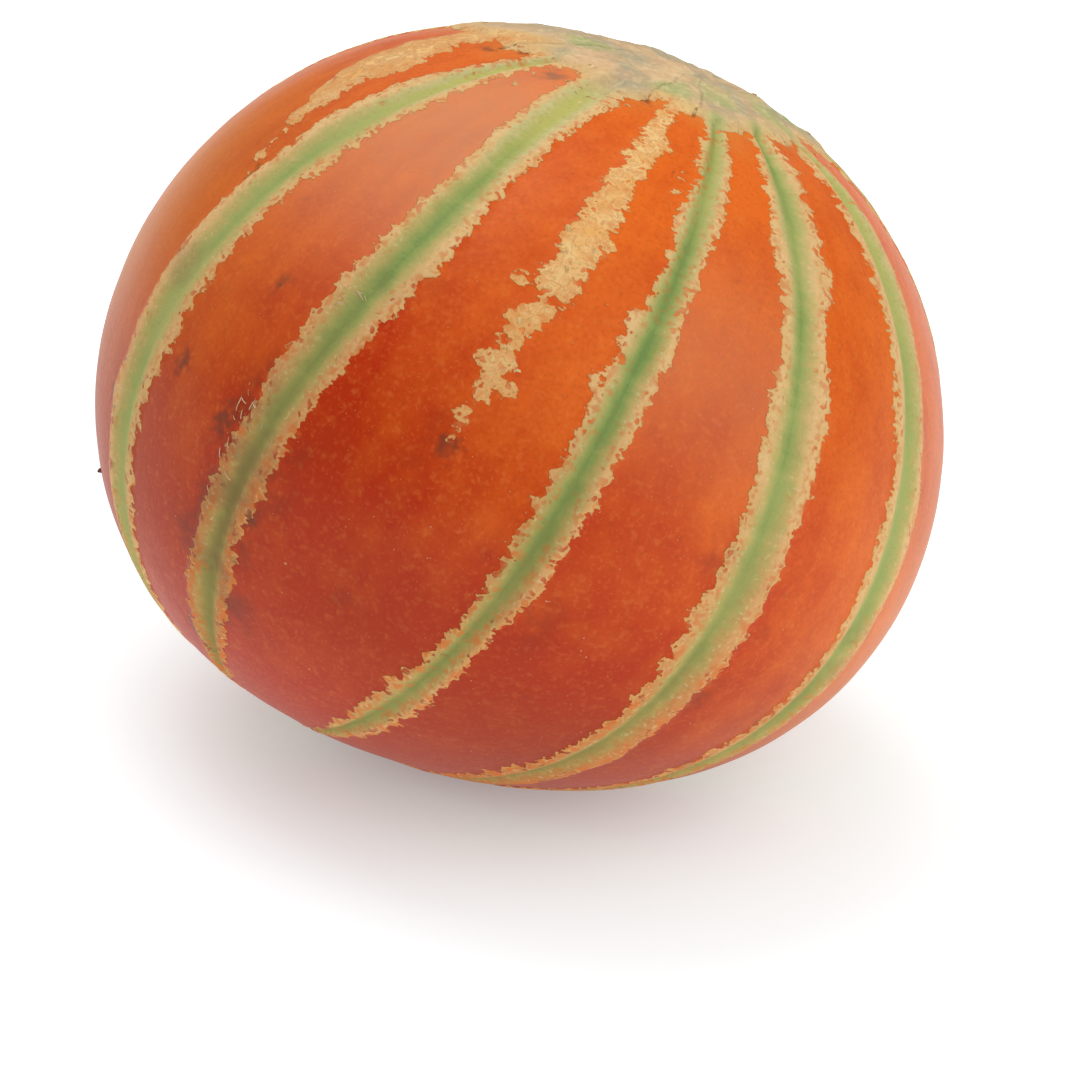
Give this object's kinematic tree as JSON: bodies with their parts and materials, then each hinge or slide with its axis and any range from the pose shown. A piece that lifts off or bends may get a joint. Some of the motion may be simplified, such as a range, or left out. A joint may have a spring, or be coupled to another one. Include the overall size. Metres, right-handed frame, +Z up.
{
  "type": "muskmelon",
  "caption": "Whole round muskmelon, slightly flattened, with sunken green seams, corky seam edges and a raised corky crown, lying on a small flat spot.",
  "frame": {"origin": "under the middle of the fruit, at the height of the flat spot that it lies on", "axes": "+Z up as the fruit lies, -Y towards its shown side, +X to the right of that side; the crown end leans towards +X and +Y"},
  "size_m": [0.129, 0.1304, 0.111],
  "materials": {
    "melon_skin": "satin orange-red rind with green seams and cream cork"
  },
  "bodies": {
    "root": {"muskmelon": "melon_skin"}
  },
  "joints": []
}
